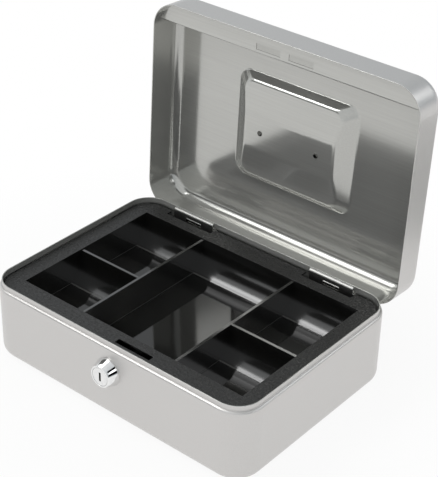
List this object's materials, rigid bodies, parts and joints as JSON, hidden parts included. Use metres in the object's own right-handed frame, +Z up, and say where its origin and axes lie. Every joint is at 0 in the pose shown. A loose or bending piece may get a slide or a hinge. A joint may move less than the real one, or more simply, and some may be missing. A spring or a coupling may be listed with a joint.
{
  "type": "cash box",
  "caption": "Rectangular steel cash box with a hinged lid, a lift-out coin tray, a key-operated cam lock and a folding handle recessed in the lid.",
  "frame": {"origin": "middle of the underside that the box stands on", "axes": "+X to the right seen from the lock, +Y to the hinges, +Z up"},
  "size_m": [0.25, 0.2287, 0.2357],
  "materials": {
    "silver_paint": "satin metallic paint",
    "zinc_steel": "bright zinc",
    "tray_plastic": "moulded, semi-gloss",
    "chrome_plate": "polished",
    "brass": "stamped"
  },
  "bodies": {
    "base": {"base_shell": "silver_paint", "tray_rail_left": "zinc_steel", "tray_rail_right": "zinc_steel", "hinge_bracket_left": "zinc_steel", "hinge_bracket_right": "zinc_steel", "hinge_pin_left": "zinc_steel", "hinge_pin_right": "zinc_steel", "lock_housing": "chrome_plate", "lock_washer": "zinc_steel", "lock_nut": "zinc_steel"},
    "lid": {"lid_shell": "silver_paint", "lid_catch_strip": "zinc_steel", "lid_hinge_leaf_left": "zinc_steel", "lid_hinge_leaf_right": "zinc_steel", "handle_clip_left": "chrome_plate", "handle_clip_right": "chrome_plate", "handle_rivets": "zinc_steel"},
    "handle": {"handle_bail": "chrome_plate"},
    "tray": {"coin_tray": "tray_plastic"},
    "plug": {"lock_plug": "chrome_plate", "lock_cam": "zinc_steel", "cam_screw": "zinc_steel"},
    "wafers": {"lock_wafers": "brass"}
  },
  "joints": [
    {"name": "lid_hinge", "type": "hinge", "parent": "base", "child": "lid", "pos_m": [0, 0.0876, 0.0585], "axis": [-1, 0, 0], "range_deg": [-92.6, 0]},
    {"name": "handle_swing", "type": "hinge", "parent": "lid", "child": "handle", "pos_m": [0, 0.11859, 0.15279], "axis": [1, 0, 0], "range_deg": [0, 100]},
    {"name": "key_turn", "type": "hinge", "parent": "base", "child": "plug", "pos_m": [0.0015, -0.09, 0.042], "axis": [0, -1, 0], "range_deg": [0, 90]},
    {"name": "wafer_slide", "type": "slide", "parent": "plug", "child": "wafers", "axis": [0, 0, 1], "range_m": [-0.001, 0]},
    {"name": "tray_lift", "type": "slide", "parent": "base", "child": "tray", "axis": [0, 0, 1], "range_m": [0, 0.07]}
  ]
}
